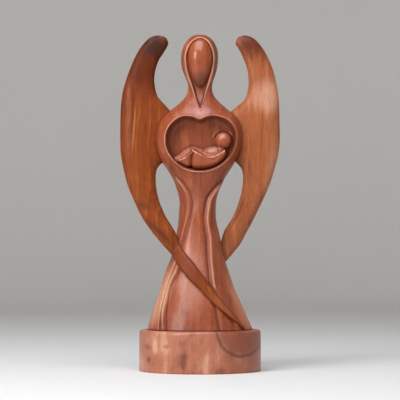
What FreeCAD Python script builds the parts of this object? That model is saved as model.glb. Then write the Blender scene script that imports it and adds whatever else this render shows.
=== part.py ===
"""A carved wooden figurine: a hooded mother with a plain egg-shaped head holds a sleeping baby in a
heart-shaped hollow. Two long wings rise from her shoulders, sweep down and cross round her gown, the
right one in front and the left one behind, and she stands on an oval plinth.
Units are millimetres, +Z is up, the origin is under the plinth's centre, and she faces -Y, so that
her left side is +X. A level is a height above the plinth's top, where her gown stands."""
import FreeCAD
import Part
import os
from math import cos, pi, radians, sin, sqrt

Vector = FreeCAD.Vector

# plinth
plinth_width = 109.0
plinth_depth = 100.0
plinth_height = 36.5
plinth_edge = 2.0          # rounding of the top edge
plinth_foot = 0.8          # chamfer of the bottom edge

# the mother: width, depth and level of each main stage of her outline
hem_width, hem_depth = 95.0, 77.0
waist_width, waist_depth, waist_level = 32.0, 27.0, 109.5
torso_width, torso_depth, torso_level = 77.8, 53.0, 169.5
neck_width, neck_depth, neck_level = 21.4, 21.0, 213.5
hood_width, hood_depth, hood_level = 33.0, 35.0, 242.5
crown_level = 263.5
torso_squareness = 2.6     # exponent of the torso's plan, where 2 is an ellipse
pleat_count = 8            # soft pleats round the gown, fading out at the waist
pleat_height = 2.2

# heart-shaped hollow in the torso
hollow_width = 62.0
hollow_top = 188.5         # level of its two lobes
hollow_bottom = 141.5
hollow_shift = 1.5         # it lies this far towards the mother's left
hollow_rim = 20.5          # distance of the rim in front of the axis
hollow_floor = 7.5         # distance of the floor in front of the axis
hollow_slope = 4.5         # how far its wall leans in between rim and floor

# opening of the hood, and the head glued into it
opening_width = 24.4
opening_top = 260.0
opening_level = 243.0      # where it is widest
opening_point = 195.0      # its lowest point, a V on the chest
opening_depth = 3.2
head_width, head_depth, head_height = 22.0, 22.0, 37.0
head_level = 241.0
head_forward = 5.2         # its centre lies this far in front of the axis

# wings
wing_span = 142.4          # over both wings
wing_top = 263.5           # level of the tips
wing_sweep = 6.0           # the tips lean back by this much
wing_root_thickness = 14.0
wing_tip_thickness = 9.0
wing_end_thickness = 6.0
wing_proud = 2.6           # how far the crossing end stands out of the gown
wing_end_gap = 1.4         # the end stops this far above the plinth
left_tip_spread = 5.0      # the left tip stands further out than the right one
wing_squareness = 2.8      # exponent of the blade's section

# baby, glued to the floor of the hollow
baby_head = 14.4
baby_length = 54.0         # from the feet to the back of the head
baby_girth = 17.0          # height of its body, lying down
baby_behind_rim = 0.8      # its highest points stay this far behind the rim

# dowels between the wings and the torso
dowel_diameter = 6.0
dowel_length = 26.0
dowel_levels = (154.0, 175.0)
dowel_clearance = 0.05     # round a dowel, and at each end

# screws that hold the gown down on the plinth
screw_diameter = 5.0
screw_head = 9.6
screw_rim = 0.5            # straight rim of the countersunk head
screw_tip = 5.0            # length of the point
screw_length = 54.0
screw_spacing = 44.0
screw_recess = 5.0         # the head lies this deep inside the plinth
screw_clearance = 0.1
thread_pitch = 2.2
thread_depth = 0.7
slot_width, slot_depth = 1.4, 1.6

body_poles = 48            # control points round one section of the mother
small_poles = 16           # the same for a wing or the head


def blend(low, high, share):
    return low + (high - low) * share


def ring_shares(poles, power=2.0):
    """(c, s) of the control points of a superellipse with half axes of 1. A closed spline runs inside
    its control points, so they lie far enough out for the curve itself to be 1 wide."""
    shares = []
    for i in range(poles):
        c, s = cos(2.0 * pi * i / poles), sin(2.0 * pi * i / poles)
        reach = (abs(c) ** power + abs(s) ** power) ** (-1.0 / power)
        shares.append((c * reach, s * reach))
    stretch = 6.0 / (4.0 + 2.0 * shares[1][0])
    return [(c * stretch, s * stretch) for c, s in shares]


def skin(rings):
    """A smooth solid whose control points are a stack of closed rings. Its ends are flat."""
    rows, count = len(rings), len(rings[0])
    knots = list(range(rows - 2))
    surface = Part.BSplineSurface()
    surface.buildFromPolesMultsKnots(rings, [4] + [1] * (rows - 4) + [4], [1] * (count + 1),
                                     knots, list(range(count + 1)), False, True, 3, 3)
    ends = [Part.Face(Part.Wire([surface.uIso(knot).toShape()])) for knot in (knots[0], knots[-1])]
    shell = Part.makeShell([surface.toShape()] + ends)
    shell.sewShape()
    solid = Part.makeSolid(shell)
    if solid.Volume < 0:
        solid.reverse()
    return solid


def ellipsoid(centre, half_axes, tilt=0.0):
    """tilt turns it about Y, in degrees, and lifts its +X end."""
    matrix = FreeCAD.Matrix()
    matrix.scale(*half_axes)
    matrix.rotateY(-radians(tilt))
    matrix.move(centre)
    return Part.makeSphere(1.0).transformGeometry(matrix)


def rod(start, direction, length, diameter):
    return Part.makeCylinder(diameter / 2.0, length, start, direction)


# ---- the mother's outline ----

def rise(low, high, shares):
    """The stage low, and stages on the way to high: each has a share of the rise and of the change."""
    stages = [low]
    for climb, change in shares:
        stages.append((blend(low[0], high[0], climb), blend(low[1], high[1], change),
                       blend(low[2], high[2], change)))
    return stages


def body_stages():
    """(level, width, depth) from the hem to just under the crown."""
    hem = (0.0, hem_width, hem_depth)
    waist = (waist_level, waist_width, waist_depth)
    torso = (torso_level, torso_width, torso_depth)
    neck = (neck_level, neck_width, neck_depth)
    hood = (hood_level, hood_width, hood_depth)
    stages = rise(hem, waist, [(0.12, 0.175), (0.34, 0.47), (0.59, 0.76), (0.8, 0.93)])
    stages += rise(waist, torso, [(0.25, 0.12), (0.47, 0.37), (0.65, 0.74), (0.82, 0.945)])
    stages += rise(torso, neck, [(0.27, 0.065), (0.48, 0.29), (0.6, 0.48), (0.73, 0.74), (0.88, 0.96)])
    stages += rise(neck, hood, [(0.41, 0.43), (0.72, 0.88)])
    for share in (0.0, 0.3, 0.55, 0.75, 0.89, 0.97):
        round_off = sqrt(1.0 - share * share)
        stages.append((blend(hood_level, crown_level, share), hood_width * round_off,
                       hood_depth * round_off))
    return stages


def half_sizes(level):
    """The body's half width and half depth at a level."""
    stages = body_stages()
    for (z0, w0, d0), (z1, w1, d1) in zip(stages, stages[1:]):
        if z0 <= level <= z1:
            share = (level - z0) / (z1 - z0)
            return blend(w0, w1, share) / 2.0, blend(d0, d1, share) / 2.0
    return hem_width / 2.0, hem_depth / 2.0


def squareness(level):
    """Exponent of the plan: 2 for the gown and the hood, more round the torso."""
    reach = min(torso_level - waist_level, neck_level - torso_level)
    nearness = max(0.0, 1.0 - abs(level - torso_level) / reach)
    return blend(2.0, torso_squareness, min(1.0, 2.0 * nearness))


def surface_depth(x, level):
    """Distance of the body's surface in front of the axis, at this x and level."""
    half_width, half_depth = half_sizes(level)
    power = squareness(level)
    return half_depth * max(0.0, 1.0 - abs(x / half_width) ** power) ** (1.0 / power)


def body(inset=0.0):
    """The mother's outer form, or the same form shrunk by an inset."""
    rings = []
    for level, width, depth in body_stages():
        pleat = pleat_height * max(0.0, 1.0 - level / waist_level)
        ring = []
        for i, (c, s) in enumerate(ring_shares(body_poles, squareness(level))):
            offset = pleat / 2.0 * (cos(pleat_count * 2.0 * pi * i / body_poles) - 1.0) - inset
            ring.append(Vector((width / 2.0 + offset) * c, (depth / 2.0 + offset) * s,
                               plinth_height + level))
        rings.append(ring)
    return skin(rings)


# ---- what is cut into her ----

def heart(forward, shrink):
    """The hollow's outline in the upright plane at this distance in front of the axis: two lobes with
    a cleft between them, and a round foot. Shrink draws it in towards its middle."""
    height, half = hollow_top - hollow_bottom, hollow_width / 2.0
    side = [(0.17, 0.975), (0.4, 1.0), (0.72, 0.93), (0.94, 0.76), (1.0, 0.56), (0.92, 0.32),
            (0.7, 0.13), (0.38, 0.025)]
    outline = [(0.0, 0.93)] + side + [(0.0, 0.0)] + [(-across, up) for across, up in reversed(side)]
    outline.append(outline[0])
    middle = 0.52
    points = []
    for across, up in outline:
        x = hollow_shift + across * (half - shrink)
        level = hollow_bottom + height * (middle + (up - middle) * (1.0 - shrink / half))
        points.append(Vector(x, -forward, plinth_height + level))
    curve = Part.BSplineCurve()
    curve.interpolate(points)
    return Part.Wire([curve.toShape()])


def hollow():
    """Cutter of the hollow: the heart at the floor, growing through the rim to clear of the chest."""
    front = torso_depth / 2.0 + 2.0
    lean = hollow_slope * (front - hollow_rim) / (hollow_rim - hollow_floor)
    return Part.makeLoft([heart(front, -lean), heart(hollow_floor, hollow_slope)], True, True)


def hood_opening():
    """Cutter of the hood's opening: round at the top, drawn down to a V, down to an inner surface."""
    half = opening_width / 2.0
    side = [(0.52 * half, blend(opening_point, opening_level, 0.42)), (half, opening_level)]
    outline = [(0.0, opening_point)] + side + [(0.0, opening_top)]
    outline += [(-x, level) for x, level in reversed(side)] + [(0.0, opening_point)]
    curve = Part.BSplineCurve()
    curve.interpolate([Vector(x, 0, plinth_height + level) for x, level in outline])
    prism = Part.Face(Part.Wire([curve.toShape()])).extrude(Vector(0, -hood_depth, 0))
    return prism.cut(body(opening_depth))


def dowels(side, clearance=0.0):
    """The two dowels of one wing, half in the torso and half in the wing."""
    made = []
    for level in dowel_levels:
        middle = half_sizes(level)[0]
        start = side * (middle - dowel_length / 2.0 - clearance)
        made.append(rod(Vector(start, 0, plinth_height + level), Vector(side, 0, 0),
                        dowel_length + 2.0 * clearance, dowel_diameter + 2.0 * clearance))
    return Part.makeCompound(made)


def screw_places():
    return [Vector(x, 0, screw_recess) for x in (-screw_spacing / 2.0, screw_spacing / 2.0)]


def turned(profile):
    """The solid that a closed profile of (radius, height) points makes when it turns about Z."""
    points = [Vector(radius, 0, height) for radius, height in profile + profile[:1]]
    return Part.Face(Part.makePolygon(points)).revolve(Vector(0, 0, 0), Vector(0, 0, 1), 360)


def screw():
    """A slotted countersunk wood screw, head down, with the head's face at the origin."""
    head, shank, root = screw_head / 2.0, screw_diameter / 2.0, screw_diameter / 2.0 - thread_depth
    height = plinth_height - screw_recess
    profile = [(0.0, 0.0), (head, 0.0), (head, screw_rim), (shank, screw_rim + head - shank),
               (shank, height)]
    while height + thread_pitch < screw_length - screw_tip:
        profile += [(root, height + 0.35 * thread_pitch), (shank, height + thread_pitch)]
        height += thread_pitch
    profile += [(root, height + 0.35 * thread_pitch), (0.0, screw_length)]
    slot = Part.makeBox(screw_head, slot_width, slot_depth, Vector(-head, -slot_width / 2.0, 0))
    return turned(profile).cut(slot)


def screw_hole():
    """The hole of one screw, from under the plinth to past its tip, drawn from its head's face."""
    head, shank = screw_head / 2.0 + screw_clearance, screw_diameter / 2.0 + screw_clearance
    end = screw_length + screw_clearance
    return turned([(0.0, -screw_recess), (head, -screw_recess), (head, screw_rim),
                   (shank, screw_rim + head - shank), (shank, end), (0.0, end)])


def at_screws(shape):
    return Part.makeCompound([shape.translated(place) for place in screw_places()])


# ---- pieces ----

def make_plinth():
    ellipse = Part.Ellipse(Vector(0, 0, 0), plinth_width / 2.0, plinth_depth / 2.0)
    block = Part.Face(Part.Wire([ellipse.toShape()])).extrude(Vector(0, 0, plinth_height))
    rims = {round(edge.BoundBox.ZMin, 3): edge for edge in block.Edges if edge.BoundBox.ZLength < 0.001}
    block = block.makeFillet(plinth_edge, [rims[plinth_height]])
    feet = [edge for edge in block.Edges if edge.BoundBox.ZMax < 0.001]
    return block.makeChamfer(plinth_foot, feet).cut(at_screws(screw_hole()))


def make_head():
    """A plain egg, a little narrower at the chin."""
    rings = []
    for share in (-0.99, -0.9, -0.7, -0.35, 0.0, 0.35, 0.65, 0.87, 0.98):
        round_off = sqrt(1.0 - share * share) * (1.0 + 0.1 * share)
        level = head_level + head_height / 2.0 * share
        rings.append([Vector(head_width / 2.0 * round_off * c, head_depth / 2.0 * round_off * s -
                             head_forward, plinth_height + level) for c, s in ring_shares(small_poles)])
    return skin(rings)


def make_mother(head):
    """Gown, torso, neck and hood, carved from one block."""
    block = body().cut(hollow()).cut(hood_opening()).cut(head)
    for side in (-1, 1):
        block = block.cut(dowels(side, dowel_clearance))
    return block.cut(at_screws(screw_hole()))


def make_baby():
    """A sleeping baby on its back in the lower half of the hollow: head, chest and arm, back, thigh
    with the raised knee, and the lower legs."""
    front = hollow_rim - baby_behind_rim
    deep = front - hollow_floor
    middle = plinth_height + hollow_bottom + 0.32 * (hollow_top - hollow_bottom)
    half, radius = baby_length / 2.0, baby_head / 2.0

    def form(across, up, length, height, bulge, tilt):
        """One rounded form. bulge is the share of the depth between floor and front that it fills."""
        centre = Vector(hollow_shift + across * half, -hollow_floor, middle + up * baby_girth)
        return ellipsoid(centre, (length * half, bulge * deep, height * baby_girth), tilt)

    head = ellipsoid(Vector(hollow_shift + 0.74 * half, radius - front, middle + 0.86 * baby_girth),
                     (radius, radius, radius))
    forms = [
        form(0.3, -0.3, 0.64, 0.46, 0.95, 13.0),
        form(-0.1, -0.22, 0.34, 0.58, 0.97, 0.0),
        form(0.4, 0.14, 0.42, 0.3, 0.8, 8.0),
        form(0.62, 0.3, 0.34, 0.34, 0.8, 48.0),
        form(-0.62, -0.16, 0.5, 0.34, 0.85, 32.0),
    ]
    return head.fuse(forms).common(hollow())


def wing_stations(side):
    """(outer edge, inner edge, thickness) down one wing, with side 1 for her left and -1 for her right."""
    half, top = wing_span / 2.0, wing_top
    root, tip, end = wing_root_thickness, wing_tip_thickness, wing_end_thickness
    # the free part: share of the half span and drop below the tip, of the outer and the inner edge
    free = [
        (0.415, 2.2, 0.4, 3.8, 0.25 * tip),
        (0.475, 0.1, 0.398, 6.8, 0.7 * tip),
        (0.57, 2.1, 0.42, 11.8, 0.95 * tip),
        (0.665, 8.0, 0.468, 17.2, tip),
        (0.76, 17.0, 0.525, 22.8, tip),
        (0.85, 28.5, 0.565, 31.0, tip + 1.0),
        (0.917, 42.0, 0.58, 42.0, tip + 2.0),
        (0.965, 56.3, 0.54, 54.5, root - 2.0),
        (0.997, 75.5, 0.41, 66.2, root - 1.0),
        (1.003, 93.0, 0.3, 78.0, root),
        (0.99, 106.5, 0.4, 106.0, root),
        (0.95, 120.5, 0.54, 119.5, root - 1.0),
        (0.885, 136.5, 0.557, 133.5, root - 2.5),
        (0.805, 151.0, 0.515, 147.5, root - 4.0),
        (0.66, 169.5, 0.415, 162.5, root - 5.0),
    ]
    # where it lies across the gown: shares of the gown's half width there and of the waist's level
    crossing = [
        (-1.6, 0.69, -1.03, 0.76),
        (-0.78, 0.515, -0.36, 0.585),
        (-0.17, 0.39, 0.12, 0.443),
        (0.26, 0.274, 0.47, 0.315),
        (0.56, 0.164, 0.68, 0.187),
        (0.79, 0.045, 0.82, 0.05),
        (0.84, 0.0, 0.85, 0.005),
    ]
    edges = [((side * out * half, top - drop), (side * into * half, top - fall), thickness)
             for out, drop, into, fall, thickness in free]
    for out, low, into, high in crossing:
        low_level = waist_level * low + wing_end_gap
        high_level = waist_level * high + wing_end_gap
        edges.append(((-side * out * half_sizes(low_level)[0], low_level),
                      (-side * into * half_sizes(high_level)[0], high_level), end))
    stations = []
    for outer, inner, thickness in edges:
        ends = []
        for x, level in (outer, inner):
            lift = max(0.0, (level - torso_level) / (wing_top - torso_level))
            spread = left_tip_spread * lift ** 1.5 if side > 0 else 0.0
            y = wing_sweep * lift * lift + side * swing(x, level, thickness)
            ends.append(Vector(x + spread, y, plinth_height + level))
        stations.append((ends[0], ends[1], thickness))
    return stations


def swing(x, level, thickness):
    """How far the wing has turned off the middle plane at this level, to come to lie on the gown."""
    start, end = blend(waist_level, torso_level, 0.6), 0.65 * waist_level
    turn = min(1.0, max(0.0, (start - level) / (start - end)))
    turn = turn * turn * (3.0 - 2.0 * turn)
    lying = surface_depth(x, level) + wing_proud - thickness / 2.0
    return turn * max(wing_root_thickness * 0.65, lying)


def make_wing(side, mother_body):
    """A long blade, seated on the side of the torso and lying on the gown."""
    stations = wing_stations(side)
    rings = []
    for i, (outer, inner, thickness) in enumerate(stations):
        before, after = stations[max(0, i - 1)], stations[min(len(stations) - 1, i + 1)]
        along = (after[0] + after[1]) - (before[0] + before[1])
        across, middle = (outer - inner) * 0.5, (outer + inner) * 0.5
        through = along.cross(across).normalize() * (thickness / 2.0)
        rings.append([middle + across * c + through * s
                      for c, s in ring_shares(small_poles, wing_squareness)])
    cut = skin(rings).cut(mother_body).cut(dowels(side, dowel_clearance))
    # the cut can leave a splinter where the blade's edge lies along the gown
    return max(cut.Solids, key=lambda solid: solid.Volume)


def save(name, shape):
    solids = shape.Solids
    print(f"{name}: {len(solids)} solid(s), valid {shape.isValid()}, {shape.Volume / 1000.0:.2f} cm3")
    whole = solids[0] if len(solids) == 1 else Part.makeCompound(solids)
    whole.exportStep(os.path.join("parts", name + ".step"))


def main():
    os.makedirs("parts", exist_ok=True)
    head = make_head()
    mother = make_mother(head)
    save("plinth", make_plinth())
    save("mother", mother)
    save("head", head)
    save("baby", make_baby())
    for name, side in (("left_wing", 1), ("right_wing", -1)):
        save(name, make_wing(side, body()))
        save(name + "_dowels", dowels(side))
    save("plinth_screws", at_screws(screw()))


if __name__ == "__main__":
    main()
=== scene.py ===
import math

import bmesh
import bpy
from mathutils import Matrix, Vector, noise
from mathutils.bvhtree import BVHTree


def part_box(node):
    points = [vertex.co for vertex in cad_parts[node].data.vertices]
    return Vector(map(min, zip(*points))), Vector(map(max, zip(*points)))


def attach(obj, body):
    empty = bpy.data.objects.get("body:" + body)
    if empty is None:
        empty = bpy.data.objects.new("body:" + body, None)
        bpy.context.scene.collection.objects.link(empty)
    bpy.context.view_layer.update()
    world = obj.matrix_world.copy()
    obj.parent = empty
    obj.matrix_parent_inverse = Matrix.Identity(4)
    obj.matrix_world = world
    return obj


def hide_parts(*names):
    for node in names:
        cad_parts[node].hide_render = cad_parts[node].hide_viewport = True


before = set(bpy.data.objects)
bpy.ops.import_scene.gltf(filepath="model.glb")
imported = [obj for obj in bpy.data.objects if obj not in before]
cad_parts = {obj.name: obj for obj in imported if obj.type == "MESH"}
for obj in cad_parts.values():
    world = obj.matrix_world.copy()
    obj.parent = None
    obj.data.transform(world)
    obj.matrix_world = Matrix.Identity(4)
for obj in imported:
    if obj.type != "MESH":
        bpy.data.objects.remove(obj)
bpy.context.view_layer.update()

# Her shape is given in shares, so it follows the frame: a level is a share of her height above the
# plinth, and a distance across or deep is a share of half the width of her hem.
plinthLow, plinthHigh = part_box("plinth")
motherLow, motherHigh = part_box("mother")
deck = plinthHigh.z
rise = motherHigh.z - deck
hemHalf = (motherHigh.x - motherLow.x) / 2
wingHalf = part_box("left_wing")[1].x
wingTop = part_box("left_wing")[1].z - deck


def clamp(value, low=0.0, high=1.0):
    return max(low, min(high, value))


def ease(value):
    value = clamp(value)
    return value * value * (3 - 2 * value)


def smoothRow(rows, place, closed=False):
    # a row between the rows of a table, on a smooth curve through them; place counts rows
    last = len(rows) if closed else len(rows) - 1
    place = place % last if closed else clamp(place, 0, last)
    index = min(int(place), last - 1)
    t = place - index
    if closed:
        picked = [rows[(index + step) % last] for step in (-1, 0, 1, 2)]
    else:
        picked = [rows[int(clamp(index + step, 0, last))] for step in (-1, 0, 1, 2)]
    made = []
    for a, b, c, d in zip(*picked):
        made.append(b + 0.5 * t * (c - a + t * (2 * a - 5 * b + 4 * c - d + t * (3 * (b - c) + d - a))))
    return made


def rowAt(rows, key):
    # the row of a table whose first column, which rises, has this value
    key = clamp(key, rows[0][0], rows[-1][0])
    low = 0
    while low < len(rows) - 2 and rows[low + 1][0] < key:
        low += 1
    start, end = low, low + 1
    for _ in range(18):
        middle = (start + end) / 2
        if smoothRow(rows, middle)[0] < key:
            start = middle
        else:
            end = middle
    return smoothRow(rows, start)


def sampled(rows, count=400):
    low, high = rows[0][0], rows[-1][0]
    table = [rowAt(rows, low + (high - low) * index / count) for index in range(count + 1)]

    def look(key):
        place = clamp((key - low) / (high - low)) * count
        index = min(int(place), count - 1)
        return [a + (b - a) * (place - index) for a, b in zip(table[index], table[index + 1])]
    return look


def placeAlong(rows, gap):
    # turns a share of the way along a table, by true distance, into a place between its rows
    lengths = [0.0]
    for a, b in zip(rows, rows[1:]):
        lengths.append(lengths[-1] + gap(a, b))

    def look(share):
        wanted = lengths[-1] * share
        index = 0
        while index < len(rows) - 2 and lengths[index + 1] < wanted:
            index += 1
        return index + (wanted - lengths[index]) / (lengths[index + 1] - lengths[index])
    return look


def signedPower(value, power):
    return math.copysign(abs(value) ** power, value)


def tubeMesh(segments, rows):
    # an upright tube of radius 1 from z = 0 to 1, with flat ends
    bm = bmesh.new()
    bmesh.ops.create_cone(bm, cap_ends=True, segments=segments, radius1=1, radius2=1, depth=1)
    bmesh.ops.translate(bm, verts=bm.verts, vec=(0, 0, 0.5))
    uprights = [e for e in bm.edges if abs(e.verts[0].co.z - e.verts[1].co.z) > 0.5]
    bmesh.ops.subdivide_edges(bm, edges=uprights, cuts=rows - 1)
    return bm


def objectFrom(bm, name):
    mesh = bpy.data.meshes.new(name)
    bmesh.ops.recalc_face_normals(bm, faces=bm.faces)
    if bm.calc_volume(signed=True) < 0:
        bmesh.ops.reverse_faces(bm, faces=bm.faces)
    bm.to_mesh(mesh)
    bm.free()
    mesh.shade_smooth()
    made = bpy.data.objects.new(name, mesh)
    bpy.context.scene.collection.objects.link(made)
    return made


def applied(piece):
    # bakes a piece's modifiers into its mesh
    bpy.context.view_layer.update()
    graph = bpy.context.evaluated_depsgraph_get()
    mesh = bpy.data.meshes.new_from_object(piece.evaluated_get(graph))
    piece.modifiers.clear()
    old = piece.data
    piece.data = mesh
    bpy.data.meshes.remove(old)
    return piece


def carve(piece, cutters):
    for cutter in cutters:
        cut = piece.modifiers.new("cut", "BOOLEAN")
        cut.object = cutter
        cut.operation = "DIFFERENCE"
        cut.solver = "EXACT"
    applied(piece)
    for cutter in cutters:
        bpy.data.objects.remove(cutter)


def remeshed(piece, voxel):
    remesh = piece.modifiers.new("remesh", "REMESH")
    remesh.mode = "VOXEL"
    remesh.voxel_size = voxel
    remesh.use_smooth_shade = True
    return applied(piece)


def soften(bm, verts, passes):
    for _ in range(passes):
        bmesh.ops.smooth_vert(bm, verts=verts, factor=0.5, use_axis_x=True, use_axis_y=True,
                              use_axis_z=True)


def sculpt(piece, passes, moves):
    # softens the mesh, then moves each vertex by what the moves give for it
    bm = bmesh.new()
    bm.from_mesh(piece.data)
    soften(bm, bm.verts, passes)
    bm.normal_update()
    shifts = [sum((move(v.co, v.normal) for move in moves), Vector()) for v in bm.verts]
    for v, shift in zip(bm.verts, shifts):
        v.co += shift
    bm.to_mesh(piece.data)
    bm.free()
    piece.data.shade_smooth()


def markHollows(piece, passes, depth, paintedLightAt=None):
    # stores how hollow the surface is at each vertex: 1 in a crease, -1 on a ridge; the material paints shade
    # into the creases and a pale of wear and painted highlight onto the ridges. The painted light function
    # adds painted shade at places of its own, and a small value there keeps the ridges' pale off.
    bm = bmesh.new()
    bm.from_mesh(piece.data)
    layer = bm.verts.layers.float.new("hollow")
    bm.normal_update()
    kept = [(v.co.copy(), v.normal.copy()) for v in bm.verts]
    soften(bm, bm.verts, passes)
    for v, (place, normal) in zip(bm.verts, kept):
        v[layer] = clamp((v.co - place).dot(normal) / depth, -1, 1)
        v.co = place
        if paintedLightAt and paintedLightAt(place, normal) > 0:
            v[layer] = max(v[layer], paintedLightAt(place, normal))
    bm.to_mesh(piece.data)
    bm.free()


def thinned(piece, share):
    # keeps this share of the faces, and so fewer where the form is plain
    thin = piece.modifiers.new("thin", "DECIMATE")
    thin.ratio = share
    applied(piece)
    piece.data.shade_smooth()


# painted shade where the pieces meet
contactShadeLook = {
    "wide": 0.0024,       # how far the painted shade where pieces meet reaches on the carving, in metres
    "fine": 0.0009,       # and round her head
    "dark": 0.9,
    "falloff": 1.3,
}


def paintedContactShade(pieces, reach):
    # painted shade: darkens each piece where it meets another, as shade falls into the joint
    trees = [(piece, BVHTree.FromPolygons([v.co for v in piece.data.vertices],
                                          [p.vertices for p in piece.data.polygons])) for piece in pieces]
    for piece, _ in trees:
        shade = piece.data.attributes["hollow"].data
        for other, tree in trees:
            if other is piece:
                continue
            for index, v in enumerate(piece.data.vertices):
                near = tree.find_nearest(v.co, reach)[3]
                if near is not None:
                    dark = contactShadeLook["dark"] * (1 - near / reach) ** contactShadeLook["falloff"]
                    shade[index].value = max(shade[index].value, dark)


def uneven(size, height, seed):
    # a move that gives the slight unevenness of hand carving
    offset = Vector((seed * 3.1, seed * 1.7, seed * 2.3))
    return lambda place, normal: normal * (height * noise.noise(place / size + offset))


# the mother: gown, waist, chest, neck and hood, carved from one block
motherShape = {
    # level, half width, half depth, sway to her left
    "outline": [
        (0.000, 0.989, 0.800, 0.002), (0.025, 0.939, 0.758, -0.012), (0.051, 0.884, 0.716, -0.024),
        (0.099, 0.781, 0.636, -0.036), (0.143, 0.688, 0.564, -0.052), (0.200, 0.583, 0.480, -0.050),
        (0.245, 0.495, 0.413, -0.044), (0.280, 0.448, 0.375, -0.040), (0.310, 0.415, 0.347, -0.036),
        (0.367, 0.356, 0.299, -0.046), (0.417, 0.343, 0.284, -0.038), (0.443, 0.355, 0.293, -0.036),
        (0.474, 0.404, 0.320, -0.032), (0.504, 0.469, 0.358, -0.028), (0.542, 0.600, 0.427, -0.022),
        (0.565, 0.686, 0.476, -0.029), (0.591, 0.762, 0.522, -0.027), (0.618, 0.806, 0.547, -0.025),
        (0.645, 0.819, 0.558, -0.023), (0.671, 0.804, 0.552, -0.021), (0.694, 0.764, 0.526, -0.017),
        (0.713, 0.699, 0.488, -0.013), (0.728, 0.625, 0.446, -0.008), (0.744, 0.531, 0.392, -0.004),
        (0.759, 0.427, 0.333, 0.000), (0.776, 0.328, 0.274, 0.000), (0.793, 0.259, 0.236, 0.000),
        (0.812, 0.229, 0.223, 0.000), (0.835, 0.240, 0.251, -0.002), (0.858, 0.286, 0.295, -0.006),
        (0.881, 0.329, 0.337, -0.013), (0.903, 0.348, 0.358, -0.013), (0.926, 0.350, 0.362, -0.008),
        (0.949, 0.330, 0.341, -0.002), (0.968, 0.286, 0.295, 0.001), (0.983, 0.228, 0.227, 0.001),
        (0.993, 0.162, 0.158, 0.001), (0.998, 0.092, 0.084, 0.001), (1.000, 0.006, 0.006, 0.001),
    ],
    "chest": (0.50, 0.60, 0.70, 0.77),   # levels between which her plan is squarer than an ellipse
    "chestSquareness": 2.5,
    "fullest": 0.645,     # the level where her chest is deepest
    "segments": 192,
    "rows": 330,
    "voxel": 0.00062,
    "softening": 3,
    "kept": 0.54,         # share of the faces kept at the end, where the form is plain
}

heartShape = {
    # across, level: from the cleft down her right side, and up her left
    "outline": [
        (-0.004, 0.7037), (-0.116, 0.7121), (-0.274, 0.7165), (-0.413, 0.7096), (-0.541, 0.6899),
        (-0.617, 0.6662), (-0.644, 0.6415), (-0.634, 0.6188), (-0.585, 0.5941), (-0.499, 0.5724),
        (-0.381, 0.5537),
        (-0.240, 0.5398), (-0.036, 0.5329), (0.158, 0.5359), (0.331, 0.5477), (0.480, 0.5675),
        (0.598, 0.5922), (0.663, 0.6188), (0.684, 0.6455), (0.663, 0.6711), (0.598, 0.6899),
        (0.501, 0.7057), (0.373, 0.7145), (0.234, 0.7175), (0.103, 0.7121),
    ],
    "middle": (0.02, 0.6277),
    "halfWidth": 0.62,
    "clear": 0.004,       # how far in front of her chest the carving starts
    "rim": 0.0205,        # metres in front of the axis
    "floor": 0.0080,
    "lean": 0.08,         # share by which the heart is smaller at the floor
    "corner": 0.0070,     # height and width of the round between wall and floor
    "cornerWide": 0.0052,
    "lipHeight": 0.0010,
    "lipWidth": 0.0009,
    "halo": (0.413, 0.055, 0.183, 5, 178),   # across, up, radius, and start and end in degrees
    "haloFine": (0.0009, 0.0006, 0.0005),    # width and height of that rim, and depth of the groove in it
}

hoodShape = {
    # across, level of the opening's edge, from the crown down her right side to the point and back up
    "outline": [
        (0.000, 0.9821), (-0.085, 0.9772), (-0.165, 0.9663), (-0.225, 0.9484), (-0.268, 0.9197),
        (-0.251, 0.8821), (-0.208, 0.8544), (-0.152, 0.8267), (-0.110, 0.7990), (-0.058, 0.7653),
        (0.006, 0.7376),
        (0.055, 0.7653), (0.093, 0.7930), (0.130, 0.8188), (0.177, 0.8455), (0.219, 0.8712), (0.248, 0.8970),
        (0.252, 0.9197), (0.224, 0.9445), (0.162, 0.9663), (0.080, 0.9781),
    ],
    "middle": (0.0, 0.90),
    "clear": 0.010,       # how far in front of her surface the carving starts
    "depth": 0.0040,
    "slope": 0.11,        # share of the opening over which its floor sinks to that depth
    "lipHeight": 0.0010,
    "lipWidth": 0.0010,
    "lipFade": 0.5,       # how much lower the lip is round the head than along the point
}


bodyAt = sampled(motherShape["outline"], 1500)


def bodySize(level):
    # half width, half depth and sway of her outer form at a level, in metres
    row = bodyAt(level)
    return row[1] * hemHalf, row[2] * hemHalf, row[3] * hemHalf


def squareness(level):
    start, full, still, end = motherShape["chest"]
    share = min(ease((level - start) / (full - start)), ease((end - level) / (end - still)))
    return 2 + (motherShape["chestSquareness"] - 2) * share


def frontOf(x, level):
    # y of her front surface
    width, depth, sway = bodySize(level)
    power = squareness(level)
    side = clamp(abs((x - sway) / max(width, 1e-6)))
    return -depth * (1 - side ** power) ** (1 / power)


def bodyForm(name):
    rows = motherShape["outline"]
    bm = tubeMesh(motherShape["segments"], motherShape["rows"])
    along = placeAlong(rows, lambda a, b: math.hypot((b[0] - a[0]) * rise, (b[1] - a[1]) * hemHalf))
    for v in bm.verts:
        level, width, depth, sway = smoothRow(rows, along(v.co.z))
        power = 2 / squareness(level)
        across, deep = signedPower(v.co.x, power), signedPower(v.co.y, power)
        v.co = Vector((across * max(width * hemHalf, 1e-4) + sway * hemHalf,
                       deep * max(depth * hemHalf, 1e-4), deck + level * rise))
    return objectFrom(bm, name)


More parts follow.
